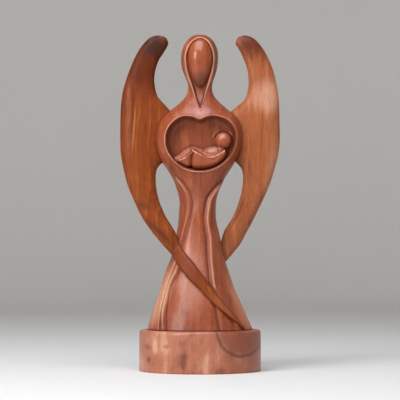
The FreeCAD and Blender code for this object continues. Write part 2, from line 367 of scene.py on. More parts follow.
def outlineRadius(shape, angle):
    # distance in metres from the middle of a heart or hood outline to its edge, at this angle
    table = shape.get("polar")
    if table is None:
        middleX, middleZ = shape["middle"][0] * hemHalf, deck + shape["middle"][1] * rise
        count = len(shape["outline"])
        around = []
        for step in range(count * 16):
            across, level = smoothRow(shape["outline"], step / 16, closed=True)
            x, z = across * hemHalf - middleX, deck + level * rise - middleZ
            around.append((math.atan2(z, x), math.hypot(x, z)))
        table = shape["polar"] = sorted(around)
    low, high = 0, len(table)
    while low < high:
        half = (low + high) // 2
        if table[half][0] < angle:
            low = half + 1
        else:
            high = half
    after, before = table[low % len(table)], table[low - 1]
    gap = (after[0] - before[0]) % math.tau
    share = ((angle - before[0]) % math.tau) / gap if gap > 1e-9 else 0.0
    return before[1] + (after[1] - before[1]) * share


def edgeDistance(shape, place):
    # how far outside the outline a point lies, seen from the front
    x = place.x - shape["middle"][0] * hemHalf
    z = place.z - deck - shape["middle"][1] * rise
    return math.hypot(x, z) - outlineRadius(shape, math.atan2(z, x))


def heartCutter():
    # a heart-shaped plug that shrinks towards the floor, with a rounded edge there
    chestRow = next(row for row in motherShape["outline"] if row[0] == motherShape["fullest"])
    front = chestRow[2] * hemHalf + heartShape["clear"]
    rim, floor, corner = heartShape["rim"], heartShape["floor"], heartShape["corner"]
    rows = [(front, 1 + heartShape["lean"] * (front - rim) / (rim - floor))]
    rows.append((floor + corner, 1 - heartShape["lean"] * (rim - floor - corner) / (rim - floor)))
    for step in range(1, 7):
        turn = step / 6 * math.pi / 2
        rows.append((floor + corner * (1 - math.sin(turn)),
                     rows[1][1] - (1 - math.cos(turn)) * heartShape["cornerWide"]
                     / (heartShape["halfWidth"] * hemHalf)))
    rows += [(floor, rows[-1][1] * share) for share in (0.7, 0.4, 0.1)]
    bm = tubeMesh(240, len(rows) - 1)
    middleX, middleZ = heartShape["middle"][0] * hemHalf, deck + heartShape["middle"][1] * rise
    for v in bm.verts:
        forward, scale = rows[round(v.co.z * (len(rows) - 1))]
        angle = math.atan2(v.co.y, v.co.x)
        radius = outlineRadius(heartShape, angle) * scale
        v.co = Vector((middleX + radius * math.cos(angle), -forward, middleZ + radius * math.sin(angle)))
    return objectFrom(bm, "heartCutter")


def hoodCutter():
    # follows her surface at a small depth, inside the outline of the hood's opening
    straight, inward = 6, 20      # rows in front of her surface, and rows across the opening's floor
    bm = tubeMesh(160, straight + inward)
    middleX, middleZ = hoodShape["middle"][0] * hemHalf, deck + hoodShape["middle"][1] * rise
    for v in bm.verts:
        angle, row = math.atan2(v.co.y, v.co.x), round(v.co.z * (straight + inward))
        radius = outlineRadius(hoodShape, angle)
        share = max(1 - (row - straight) / inward, 0.02) if row > straight else 1.0
        x, z = middleX + radius * share * math.cos(angle), middleZ + radius * share * math.sin(angle)
        level = (z - deck) / rise
        if row > straight:
            y = frontOf(x, level) + hoodShape["depth"] * ease((1 - share) / hoodShape["slope"])
        else:
            y = frontOf(x, level) - hoodShape["clear"] * (straight - row) / straight
        v.co = Vector((x, y, z))
    return objectFrom(bm, "hoodCutter")


# folds of the gown: (level, where it runs as a share of her half width there), depth and width in
# metres, and how far the cloth swells on its right and on its left
foldLines = [
    {"run": [(0.253, -0.77), (0.302, -0.64), (0.352, -0.49), (0.386, -0.36), (0.420, -0.30), (0.458, -0.39),
             (0.481, -0.54), (0.508, -0.76), (0.527, -0.88)], "depth": 0.0009, "width": 0.0017,
     "swell": (0.0009, 0.0000)},
    {"run": [(0.000, -0.64), (0.082, -0.73), (0.143, -0.74), (0.192, -0.60), (0.230, -0.50)],
     "depth": 0.0013, "width": 0.0015, "swell": (0.0008, 0.0002)},
    {"run": [(0.000, -0.77), (0.116, -0.83), (0.213, -0.77), (0.250, -0.72)], "depth": 0.0008,
     "width": 0.0014, "swell": (0.0004, 0.0002)},
    {"run": [(0.000, -0.90), (0.120, -0.93), (0.220, -0.91)], "depth": 0.0005, "width": 0.0013,
     "swell": (0.0002, 0.0002)},
    {"run": [(0.340, -0.82), (0.400, -0.74), (0.450, -0.82), (0.500, -0.94)], "depth": 0.0005,
     "width": 0.0012, "swell": (0.0002, 0.0002)},
    {"run": [(0.029, 0.68), (0.055, 0.61), (0.089, 0.50), (0.136, 0.38), (0.218, 0.37), (0.299, 0.39),
             (0.367, 0.34), (0.420, 0.43), (0.451, 0.56), (0.477, 0.74), (0.500, 0.90)],
     "depth": 0.0013, "width": 0.0019, "swell": (0.0000, 0.0017)},
    {"run": [(0.000, 0.38), (0.059, 0.39), (0.115, 0.38)], "depth": 0.0010, "width": 0.0018,
     "swell": (0.0002, 0.0003)},
    {"run": [(0.200, 0.88), (0.310, 0.84), (0.370, 0.87)], "depth": 0.0004, "width": 0.0012,
     "swell": (0.0002, 0.0002)},
]
foldAt = [sampled(fold["run"]) for fold in foldLines]
foldEnds = (0.03, 0.02, 0.05)   # how far a fold goes on below and above its run, and over how much it fades
foldTop = 0.56                  # level above which there are no folds
# the swell of the cloth beside a fold: where it is full, where it ends and over how much it dies away
foldSwell = (0.0030, 0.0120, 0.0085)
pleatShape = {
    # each pleat behind: where it runs as a share of her half width, and its depth
    "pleats": [(-0.86, 0.0012), (-0.60, 0.0016), (-0.27, 0.0012), (0.06, 0.0017), (0.38, 0.0012),
               (0.70, 0.0016)],
    "width": 0.0017,
    "wander": 0.05,
    "swell": (0.0030, 0.0110, 0.0075),
    "top": (0.50, 0.12),  # level where the pleats end, and over how much
}


def foldMove(place, normal):
    # presses the folds into the gown, in front as they run and behind as pleats
    level = (place.z - deck) / rise
    if level > foldTop:
        return Vector()
    width, depth, sway = bodySize(level)
    share = clamp((place.x - sway) / width, -0.999, 0.999)
    around = math.asin(share) * (width + depth) / 2
    push = 0.0
    if place.y < 0:
        below, above, fading = foldEnds
        full, end, dying = foldSwell
        for fold, runAt in zip(foldLines, foldAt):
            first, last = fold["run"][0][0], fold["run"][-1][0]
            if first - below < level < last + above:
                at = math.asin(clamp(runAt(level)[1], -0.995, 0.995)) * (width + depth) / 2
                away = abs(around - at)
                off = away / fold["width"]
                fade = ease((last + above - level) / fading)
                if first > 0:
                    fade *= ease((level - first + below) / fading)
                swell = fold["swell"][1 if around > at else 0]
                push -= fade * fold["depth"] * math.exp(-off * off)
                push += fade * swell * ease(away / full) * ease((end - away) / dying)
    else:
        fade = ease((pleatShape["top"][0] - level) / pleatShape["top"][1])
        full, end, dying = pleatShape["swell"]
        for share, deep in pleatShape["pleats"]:
            bend = pleatShape["wander"] * math.sin(level * 9 + share * 7)
            at = math.asin(clamp(share + bend, -0.98, 0.98)) * (width + depth) / 2
            away = abs(around - at)
            push -= fade * deep * math.exp(-(away / pleatShape["width"]) ** 2)
            push += fade * deep * 0.5 * ease(away / full) * ease((end - away) / dying)
    return normal * push


def lipMove(place, normal):
    # raises a thin lip round the heart and along the hood's edge
    if place.y > -0.004 or normal.y > 0.35:
        return Vector()
    shift = Vector()
    level = (place.z - deck) / rise
    if 0.51 < level < 0.75:
        off = (edgeDistance(heartShape, place) - heartShape["lipWidth"]) / heartShape["lipWidth"]
        if -1.5 < off < 3:
            shift += Vector((0, -1, 0)) * heartShape["lipHeight"] * math.exp(-off * off)
    if level > 0.735:
        off = (edgeDistance(hoodShape, place) - hoodShape["lipWidth"]) / hoodShape["lipWidth"]
        if -1.5 < off < 3:
            fine = 1 - hoodShape["lipFade"] * ease((level - 0.84) / 0.06)
            shift += normal * hoodShape["lipHeight"] * fine * math.exp(-off * off)
    return shift


def haloMove(place, normal):
    # a fine rim on the hollow's floor, round the baby's head
    if not -heartShape["floor"] - 0.004 < place.y < -heartShape["floor"] + 0.001:
        return Vector()
    across, up, radius, start, end = heartShape["halo"]
    width, height, groove = heartShape["haloFine"]
    x = place.x - (heartShape["middle"][0] + across) * hemHalf
    z = place.z - deck - heartShape["middle"][1] * rise - up * hemHalf
    off = (math.hypot(x, z) - radius * hemHalf) / width
    angle = math.degrees(math.atan2(z, x))
    if abs(off) > 3.5 or not start < angle < end:
        return Vector()
    ends = ease((angle - start) / 25) * ease((end - angle) / 25)
    return Vector((0, 1, 0)) * ends * (groove * math.exp(-(off + 1.3) ** 2) - height * math.exp(-off * off))


# painted shade in the heart's hollow and in the hood's opening
wallShadeLook = {
    "heart": 0.62,        # how dark the painted shade on the heart's wall is
    "floor": 0.85,        # and the floor beside it, as a share of that
    "floorReach": (0.0085, 0.0060),   # where the floor's dark ends, and over how much, in metres
    "hood": 0.40,
}


def paintedWallShade(place, normal):
    # painted shade: the walls of the heart and of the hood's opening are darker than the rest, as shade falls
    # in those hollows
    if normal.y > 0.4 or place.y > -0.004:
        return 0.0
    level = (place.z - deck) / rise
    if 0.52 < level < 0.74 and place.y > -heartShape["rim"] + 0.0008:
        inside = -edgeDistance(heartShape, place)
        if inside > -0.0005:
            steep = ease((1 - abs(normal.y)) / 0.55)
            end, dying = wallShadeLook["floorReach"]
            return wallShadeLook["heart"] * max(steep, ease((end - inside) / dying) * wallShadeLook["floor"])
    if 0.735 < level < 0.85:
        inside = -edgeDistance(hoodShape, place)
        if inside > 0.0004:
            return wallShadeLook["hood"] * ease((0.85 - level) / 0.03)
    return 0.0


mother = bodyForm("mother_carving")
carve(mother, [heartCutter(), hoodCutter()])
remeshed(mother, motherShape["voxel"])
sculpt(mother, motherShape["softening"], [foldMove, lipMove, haloMove, uneven(0.030, 0.0004, 1),
                                          uneven(0.009, 0.00012, 2)])
markHollows(mother, 22, 0.00040, paintedWallShade)
thinned(mother, motherShape["kept"])
print("mother:", len(mother.data.polygons), "faces")


# stations from the tip down: outer edge across and level, inner edge across and level, as shares of
# half the wings' span and of the tips' level, then thickness in metres. Across is counted from the
# middle towards the wing's own side, so it is negative where the wing has crossed over.
crossingStations = [
    (0.468, 0.287, 0.291, 0.321, 0.0078), (0.335, 0.245, 0.218, 0.272, 0.0072),
    (0.190, 0.189, 0.055, 0.216, 0.0066), (-0.017, 0.132, -0.102, 0.156, 0.0060),
    (-0.203, 0.082, -0.257, 0.097, 0.0054), (-0.390, 0.040, -0.416, 0.050, 0.0044),
    (-0.538, 0.003, -0.548, 0.006, 0.0030),
]
rightWingShape = {
    "side": -1,
    "free": [
        (0.440, 0.996, 0.405, 0.987, 0.0025), (0.511, 1.0000, 0.397, 0.974, 0.0060),
        (0.625, 0.992, 0.418, 0.957, 0.0085), (0.717, 0.966, 0.466, 0.936, 0.0090),
        (0.797, 0.932, 0.520, 0.912, 0.0095), (0.874, 0.887, 0.559, 0.879, 0.0100),
        (0.933, 0.840, 0.570, 0.839, 0.0110), (0.978, 0.787, 0.528, 0.791, 0.0120),
        (0.996, 0.712, 0.405, 0.750, 0.0130), (0.996, 0.646, 0.293, 0.704, 0.0140),
        (0.990, 0.595, 0.391, 0.594, 0.0140), (0.954, 0.542, 0.535, 0.544, 0.0130),
        (0.896, 0.483, 0.547, 0.491, 0.0120), (0.815, 0.429, 0.508, 0.438, 0.0110),
        (0.713, 0.375, 0.433, 0.387, 0.0095), (0.594, 0.327, 0.342, 0.346, 0.0084),
    ],
    "crossing": crossingStations,
    "sweep": 0.006,       # the tip leans back by this much
    "edges": (3.0, 0.62),  # how square the blade's outline is, and how sharply its faces meet
    "proud": (0.0030, 0.0010),   # how far the outer and the inner edge stand out of the gown
    "rib": 0.0003,        # a fine groove beside the inner edge, above the crossing
    "seed": 11,
}
leftWingShape = {
    "side": 1,
    "free": [
        (0.487, 0.996, 0.455, 0.986, 0.0025), (0.557, 1.0000, 0.448, 0.972, 0.0060),
        (0.662, 0.991, 0.478, 0.957, 0.0085), (0.759, 0.964, 0.520, 0.935, 0.0090),
        (0.840, 0.930, 0.567, 0.903, 0.0095), (0.908, 0.888, 0.599, 0.865, 0.0100),
        (0.955, 0.838, 0.603, 0.825, 0.0110), (0.982, 0.785, 0.559, 0.780, 0.0120),
        (0.993, 0.712, 0.419, 0.746, 0.0130), (0.996, 0.646, 0.307, 0.704, 0.0140),
        (0.979, 0.595, 0.377, 0.594, 0.0140), (0.931, 0.542, 0.517, 0.541, 0.0130),
        (0.856, 0.483, 0.532, 0.491, 0.0120), (0.769, 0.429, 0.492, 0.436, 0.0110),
        (0.671, 0.372, 0.412, 0.381, 0.0095), (0.563, 0.319, 0.314, 0.338, 0.0084),
    ],
    "crossing": [(0.497, 0.287, 0.291, 0.321, 0.0078), (0.352, 0.236, 0.218, 0.272, 0.0072)]
                + crossingStations[2:],
    "sweep": 0.006,
    "edges": (3.0, 0.62),
    "proud": (0.0030, 0.0010),
    "rib": 0.0015,
    "seed": 23,
}


wingMesh = {
    "segments": 88,
    "rows": 300,
    "ribLevels": (0.27, 0.48),   # the groove beside the inner edge runs between these levels
    "ribPlace": (0.66, 0.11),    # where it lies across the blade, and how wide it is
    # levels where the blade turns onto the gown, how far out it does, and passes that soften it
    "bend": (0.19, 0.36, 0.008, 8),
    "hook": (0.552, 0.282),      # level where it starts to swing off the middle plane, and over how much
    "settle": (0.52, 0.16),      # level where its outer face starts to follow the gown, and over how much
    "lay": (0.0012, 0.0016),     # how far its sides go into the gown, and how softly it rises
}


def bladePoint(shape, across, level, thickness, proud):
    # a point of the blade's middle surface: it leans back above the torso, and below it swings off
    # the middle plane to lie on the gown
    x = shape["side"] * across * wingHalf
    lift = clamp((level * wingTop / rise - 0.645) / 0.355)
    turn = ease((wingMesh["hook"][0] - level) / wingMesh["hook"][1])
    lying = max(-frontOf(x, level * wingTop / rise) + proud - thickness / 2, 0.0088)
    return Vector((x, shape["sweep"] * lift * lift + shape["side"] * turn * lying, deck + level * wingTop))


def layOnGown(place, shape, u, w):
    # lifts the outer face of a crossing blade so that it follows the gown: w runs from 1 on that
    # face to -1 behind, and u from 1 at the lower edge to -1 at the upper one
    level = (place.z - deck) / rise
    turn = ease((wingMesh["settle"][0] - level) / wingMesh["settle"][1])
    depth = -frontOf(place.x, level)
    if w <= 0 or turn == 0 or depth < 0.001:
        return
    outer, inner = shape["proud"]
    proud = inner + (outer - inner) * (u + 1) / 2
    sunk, blend = wingMesh["lay"]
    wanted = depth + (proud + sunk) * min(w * 1.5, 1.0) ** 0.7 - sunk
    lift = blend * math.log1p(math.exp(clamp((wanted - place.y * shape["side"]) / blend, -20, 20)))
    place.y += shape["side"] * lift * turn * ease(depth / 0.006)


def wingForm(name, shape):
    rows = shape["free"] + shape["crossing"]
    segments, count = wingMesh["segments"], wingMesh["rows"]
    place = placeAlong(rows, lambda a, b: math.hypot((b[0] + b[2] - a[0] - a[2]) * wingHalf / 2,
                                                     (b[1] + b[3] - a[1] - a[3]) * wingTop / 2))
    frames = []
    for step in range(count + 1):
        outX, outLevel, inX, inLevel, thickness = smoothRow(rows, place(step / count))
        outer = bladePoint(shape, outX, outLevel, thickness, shape["proud"][0])
        inner = bladePoint(shape, inX, inLevel, thickness, shape["proud"][1])
        frames.append(((outer + inner) / 2, (outer - inner) / 2, thickness / 2, (outLevel + inLevel) / 2))
    bm = tubeMesh(segments, count)
    square, sharp = shape["edges"]
    ribLow, ribHigh = wingMesh["ribLevels"]
    ribAcross, ribWide = wingMesh["ribPlace"]
    bendLow, bendHigh, bendInner, passes = wingMesh["bend"]
    for v in bm.verts:
        row = round(v.co.z * count)
        middle, across, half, level = frames[row]
        along = frames[min(row + 1, count)][0] - frames[max(row - 1, 0)][0]
        through = along.cross(across).normalized() * half
        close = min(row / 3, (count - row) / 2, 1.0)
        close = math.sqrt(max(1 - (1 - close) ** 2, 0.0004))
        u, w = signedPower(v.co.x, 2 / square), signedPower(v.co.y, 2 * sharp)
        v.co = middle + (across * u + through * w) * close
        outward = w * close * (1 if through.y * shape["side"] > 0 else -1)
        layOnGown(v.co, shape, u, outward)
        rib = ease((ribHigh - level) / 0.06) * ease((level - ribLow) / 0.04)
        if v.co.y < middle.y and rib > 0:
            v.co.y += shape["rib"] * rib * math.exp(-((u + ribAcross) / ribWide) ** 2)
    bent = [v for v in bm.verts if bendLow < (v.co.z - deck) / rise < bendHigh
            and v.co.x * shape["side"] > bendInner]
    soften(bm, bent, passes)
    piece = objectFrom(bm, name)
    sculpt(piece, 0, [uneven(0.028, 0.00045, shape["seed"]), uneven(0.008, 0.00010, shape["seed"] + 1)])
    markHollows(piece, 10, 0.0005)
    print(name + ":", len(piece.data.polygons), "faces")
    return piece


rightWing = wingForm("right_wing_carving", rightWingShape)
leftWing = wingForm("left_wing_carving", leftWingShape)


headShape = {
    "longer": 1.50,       # how much further the chin lies from the middle than the crown
    "narrow": (0.36, 0.08),   # how much narrower and shallower it is at the chin
    "back": 0.0004,       # how far the chin goes back
    "size": (1.07, 1.00, 0.985),   # shares of its box
    "ahead": 0.0010,      # how far in front of the middle of its box it sits
}
headLow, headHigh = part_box("head")


def headForm():
    # a plain egg, long and narrow towards the chin
    bm = bmesh.new()
    bmesh.ops.create_uvsphere(bm, u_segments=96, v_segments=80, radius=1)
    middle, half = (headLow + headHigh) / 2, (headHigh - headLow) / 2
    wide, deep, tall = (size * axis for size, axis in zip(headShape["size"], half))
    for v in bm.verts:
        down = max(0.0, -v.co.z) ** 1.3
        v.co = middle + Vector((v.co.x * wide * (1 - headShape["narrow"][0] * down),
                                v.co.y * deep * (1 - headShape["narrow"][1] * down) + headShape["back"] * down
                                - headShape["ahead"],
                                v.co.z * tall * (headShape["longer"] if v.co.z < 0 else 1)))
    piece = objectFrom(bm, "head_carving")
    sculpt(piece, 0, [uneven(0.012, 0.00018, 5)])
    markHollows(piece, 4, 0.0006)
    print("head:", len(piece.data.polygons), "faces")
    return piece


head = headForm()


# Each form is an outline round the hollow's middle, in millimetres across and up, then how far its
# middle stands off the floor, the radius of its upper and lower edge, and how much it rises per
# millimetre across and up.
babyShape = {
    "forms": {
        "nearSide": {"outline": [(-7.4, -4.8), (-5.2, -6.3), (-2.5, -7.8), (0.6, -9.4), (2.6, -10.4),
                                 (5.0, -11.0), (8.0, -11.2), (11.5, -10.6), (15.6, -8.6), (19.0, -6.4),
                                 (21.2, -5.6), (22.5, -7.6), (22.2, -11.3), (19.6, -15.6), (13.6, -20.0),
                                 (5.2, -22.8), (-2.6, -23.6), (-9.0, -23.2), (-13.4, -22.2),
                                 (-18.6, -20.2), (-24.8, -16.0), (-24.2, -14.2), (-19.2, -13.8),
                                 (-14.2, -11.6), (-9.9, -7.8)],
                     "crown": 10.4, "edge": (1.5, 4.5), "rise": (0.02, 0.16)},
        "chest": {"outline": [(0.6, -9.0), (2.2, -5.4), (7.0, -2.5), (13.2, -1.6), (19.0, -3.2), (22.0, -5.8),
                              (20.0, -10.0), (10.0, -14.0), (3.0, -13.0)],
                  "crown": 5.6, "edge": (1.2, 1.2), "rise": (0.04, -0.72)},
        "farLeg": {"outline": [(-5.8, -1.9), (-9.3, -2.3), (-15.4, -5.4), (-19.8, -9.8), (-24.6, -12.4),
                               (-24.0, -17.0), (-16.0, -17.0), (-8.0, -13.0), (2.0, -11.5), (4.4, -6.7),
                               (-1.8, -3.4)],
                   "crown": 5.2, "edge": (1.3, 1.3), "rise": (0.05, -0.62)},
    },
    "folds": [   # soft grooves: points across and up, depth, width
        ([(-7.9, -9.6), (-8.2, -11.0), (-8.6, -14.0), (-8.8, -18.0), (-9.0, -24.0)], 2.7, 1.9),
        ([(2.0, -10.8), (5.0, -13.4), (8.5, -14.8), (11.5, -15.0)], 0.5, 1.3),
        ([(6.0, -8.0), (10.5, -8.2), (15.0, -6.4)], 0.6, 0.9),
    ],
    "kneeSides": (-8.4, -8.5, 0.55, 5),   # across, up, how fast it falls away and how far it reaches
    "head": (19.6, 2.6, 7.2),     # across, up, radius
    "neck": (18.2, -4.6, 3.6),
    "behindRim": 1.0,             # how far its head stays behind the heart's rim
    "neckBack": 0.0045,           # metres that the neck lies further in than the head
    "sunk": 0.003,                # metres that the relief goes into the hollow's floor
    "heights": (1.0, 11.6),       # lowest and highest that a form may stand
    "roundness": 2.2,
    "reach": (-25.5, 23.5, -24.5, -0.5),   # left, right, low and high side of the grid
    "grid": 0.34,
    "voxel": 0.00036,
}
unit = hemHalf / 47.5     # metres for one of its millimetres
babyX, babyZ = heartShape["middle"][0] * hemHalf, deck + heartShape["middle"][1] * rise
foldCurves = [([smoothRow(points, index / 8) for index in range(len(points) * 8 - 7)], depth, width)
              for points, depth, width in babyShape["folds"]]


def closedCurve(points, steps):
    return [smoothRow(points, index / steps, closed=True) for index in range(len(points) * steps)]


def insideDistance(curve, x, z):
    # distance to a closed curve, or 0 outside it, and how far above the place its nearest point lies
    inside, nearest = False, 1e9
    previous = curve[-1]
    for point in curve:
        if (point[1] > z) != (previous[1] > z):
            if x < (previous[0] - point[0]) * (z - point[1]) / (previous[1] - point[1]) + point[0]:
                inside = not inside
        away = (point[0] - x) ** 2 + (point[1] - z) ** 2
        if away < nearest:
            nearest, above = away, point[1] - z
        previous = point
    return (math.sqrt(nearest), above) if inside else (0.0, 0.0)


def babyForm():
    # a relief: one grid raised by the highest of the forms, closed behind and merged with the head
    left, right, low, high = babyShape["reach"]
    step = babyShape["grid"]
    columns, rows = round((right - left) / step), round((high - low) / step)
    forms = []
    for form in babyShape["forms"].values():
        curve = closedCurve(form["outline"], 6)
        middle = [sum(point[axis] for point in curve) / len(curve) for axis in (0, 1)]
        forms.append((form, curve, middle))
    floor = heartShape["floor"]
    bm = bmesh.new()
    bmesh.ops.create_grid(bm, x_segments=columns, y_segments=rows, size=0.5)
    outside = []
    for v in bm.verts:
        x, z = left + (v.co.x + 0.5) * (right - left), low + (v.co.y + 0.5) * (high - low)
        height = 0.0
        for form, curve, middle in forms:
            near, above = insideDistance(curve, x, z)
            if near > 0:
                upper, lower = form["edge"]
                edge = lower + (upper - lower) * ease(0.5 + 0.5 * above / near)
                crown = form["crown"] + form["rise"][0] * (x - middle[0]) + form["rise"][1] * (z - middle[1])
                roundness = 1 - (1 - min(near / edge, 1)) ** babyShape["roundness"]
                height = max(height, clamp(crown, *babyShape["heights"]) * math.sqrt(roundness))
        if height == 0:
            outside.append(v)
        v.co = Vector((babyX + x * unit, -(floor + height * unit), babyZ + z * unit))
    bmesh.ops.delete(bm, geom=outside, context="VERTS")
    made = bmesh.ops.extrude_face_region(bm, geom=bm.faces[:])
    behind = [v for v in made["geom"] if isinstance(v, bmesh.types.BMVert)]
    for v in behind:
        v.co.y = -floor + babyShape["sunk"]
    for across, up, radius in (babyShape["head"], babyShape["neck"]):
        place = Vector((babyX + across * unit, 0, babyZ + up * unit))
        place.y = -heartShape["rim"] + (babyShape["behindRim"] + radius) * unit
        if (across, up, radius) == babyShape["neck"]:
            place.y += babyShape["neckBack"]
        bmesh.ops.create_uvsphere(bm, u_segments=64, v_segments=40, radius=radius * unit,
                                  matrix=Matrix.Translation(place))
    piece = objectFrom(bm, "baby_carving")
    remeshed(piece, babyShape["voxel"])
    sculpt(piece, 4, [])
    sculpt(piece, 0, [babyFolds, uneven(0.006, 0.00012, 31)])
    markHollows(piece, 10, 0.00022, besideKnee)
    print("baby:", len(piece.data.polygons), "faces")
    return piece


def besideKnee(place, normal):
    # keeps the ridges' pale, rubbed wear and painted highlight, off the sides of the groove under the knee
    x, z = (place.x - babyX) / unit, (place.z - babyZ) / unit
    across, up, fall, reach = babyShape["kneeSides"]
    off = abs(x - across)
    return 0.02 if z < up - fall * off and off < reach else 0.0


def babyFolds(place, normal):
    # presses the soft grooves into the relief
    if place.y > -heartShape["floor"] - 0.001:
        return Vector()
    x, z = (place.x - babyX) / unit, (place.z - babyZ) / unit
    push = 0.0
    for points, depth, width in foldCurves:
        near = min((point[0] - x) ** 2 + (point[1] - z) ** 2 for point in points)
        if near < width * width * 9:
            push -= depth * math.exp(-near / (width * width))
    return normal * push * unit


baby = babyForm()


plinthShape = {
    # share of the half width, level as a share of its height: from the middle of the foot up to the top
    "outline": [(0.02, 0.000), (0.40, 0.000), (0.80, 0.000), (0.978, 0.000), (0.9875, 0.004), (0.992, 0.020),
                (0.991, 0.10), (0.990, 0.30), (0.991, 0.55), (0.990, 0.80), (0.989, 0.925), (0.985, 0.962),
                (0.974, 0.988), (0.955, 0.998), (0.930, 1.000), (0.80, 1.000), (0.40, 1.000), (0.02, 1.000)],
    "rows": 150,
    "segments": 256,
    "recess": (0.0049, 0.0050),   # radius and depth of the two screw recesses underneath
}


def plinthForm():
    low, high = plinthLow, plinthHigh
    middle, half = (low + high) / 2, (high - low) / 2
    rows = plinthShape["outline"]
    tall = high.z - low.z
    along = placeAlong(rows, lambda a, b: math.hypot((b[0] - a[0]) * half.x, (b[1] - a[1]) * tall))
    bm = tubeMesh(plinthShape["segments"], plinthShape["rows"])
    for v in bm.verts:
        place = along(v.co.z)
        index = min(int(place), len(rows) - 2)
        share = place - index
        radius, level = [a + (b - a) * share for a, b in zip(rows[index], rows[index + 1])]
        v.co = Vector((middle.x + v.co.x * radius * half.x, middle.y + v.co.y * radius * half.y,
                       low.z + level * tall))
    piece = objectFrom(bm, "plinth_turned")
    broad, small = uneven(0.035, 0.00030, 41), uneven(0.010, 0.00010, 42)
    sculpt(piece, 2, [lambda place, normal: broad(place, normal) * (1 - abs(normal.z)),
                      lambda place, normal: small(place, normal) * (1 - abs(normal.z)) * 0.9])
    cutters = []
    screwLow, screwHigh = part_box("plinth_screws")
    radius, depth = plinthShape["recess"]
    for x in (screwLow.x + radius, screwHigh.x - radius):
        bm = bmesh.new()
        bmesh.ops.create_cone(bm, cap_ends=True, segments=64, radius1=radius, radius2=radius, depth=depth * 2)
        bmesh.ops.translate(bm, verts=bm.verts, vec=(x, (screwLow.y + screwHigh.y) / 2, 0))
        cutters.append(objectFrom(bm, "recessCutter"))
    carve(piece, cutters)
    markHollows(piece, 4, 0.0006)
    print("plinth:", len(piece.data.polygons), "faces")
    return piece


plinth = plinthForm()


paintedContactShade([mother, baby, leftWing, rightWing, plinth], contactShadeLook["wide"])
paintedContactShade([mother, head], contactShadeLook["fine"])
print("joints shaded")


def tone(red, green, blue):
    # a colour from 0..255 display values
    return tuple(((c / 255 + 0.055) / 1.055) ** 2.4 if c > 10 else c / 3294
                 for c in (red, green, blue)) + (1.0,)


def newMaterial(name):
    material = bpy.data.materials.new(name)
    material.use_nodes = True
    tree = material.node_tree
    tree.nodes.clear()
    output = tree.nodes.new("ShaderNodeOutputMaterial")
    shader = tree.nodes.new("ShaderNodeBsdfPrincipled")
    tree.links.new(shader.outputs["BSDF"], output.inputs["Surface"])
    return material, tree, shader


def addNode(tree, kind, inputs=None, **settings):
    # adds a node, sets its properties, and links or sets its inputs
    made = tree.nodes.new("ShaderNode" + kind)
    for name, value in settings.items():
        setattr(made, name, value)
    for key, value in (inputs or {}).items():
        if isinstance(value, bpy.types.NodeSocket):
            tree.links.new(value, made.inputs[key])
        else:
            made.inputs[key].default_value = value
    return made


def calculate(tree, operation, a, b=0.0, c=0.0):
    return addNode(tree, "Math", {0: a, 1: b, 2: c}, operation=operation).outputs[0]


def fade(tree, value, start, end, low=0.0, high=1.0):
    return addNode(tree, "MapRange", {0: value, 1: start, 2: end, 3: low, 4: high},
                   interpolation_type="SMOOTHSTEP").outputs[0]


def blendColour(tree, share, a, b):
    return addNode(tree, "Mix", {0: share, 6: a, 7: b}, data_type="RGBA").outputs[2]


def noiseField(tree, vector, scale, detail=2.0, roughness=0.5):
    return addNode(tree, "TexNoise", {"Vector": vector, "Scale": scale, "Detail": detail,
                                      "Roughness": roughness}).outputs["Fac"]


def patchMask(tree, coords, ragged, at, size, turn, strength, solid, rough, ring=None):
    # full inside a turned ellipsoid at a place on the piece, fading out at its ragged edge
    local = addNode(tree, "Mapping", {"Vector": coords, "Location": at, "Scale": size,
                                      "Rotation": (0, math.radians(turn), 0)},
                    vector_type="TEXTURE").outputs[0]
    reach = addNode(tree, "VectorMath", {0: local}, operation="LENGTH").outputs["Value"]
    reach = calculate(tree, "MULTIPLY_ADD", ragged, rough, reach)
    if ring:
        off = calculate(tree, "ABSOLUTE", calculate(tree, "SUBTRACT", reach, 1.0))
        return fade(tree, off, 0.0, ring, strength, 0.0)
    return fade(tree, reach, solid, 1.0, strength, 0.0)


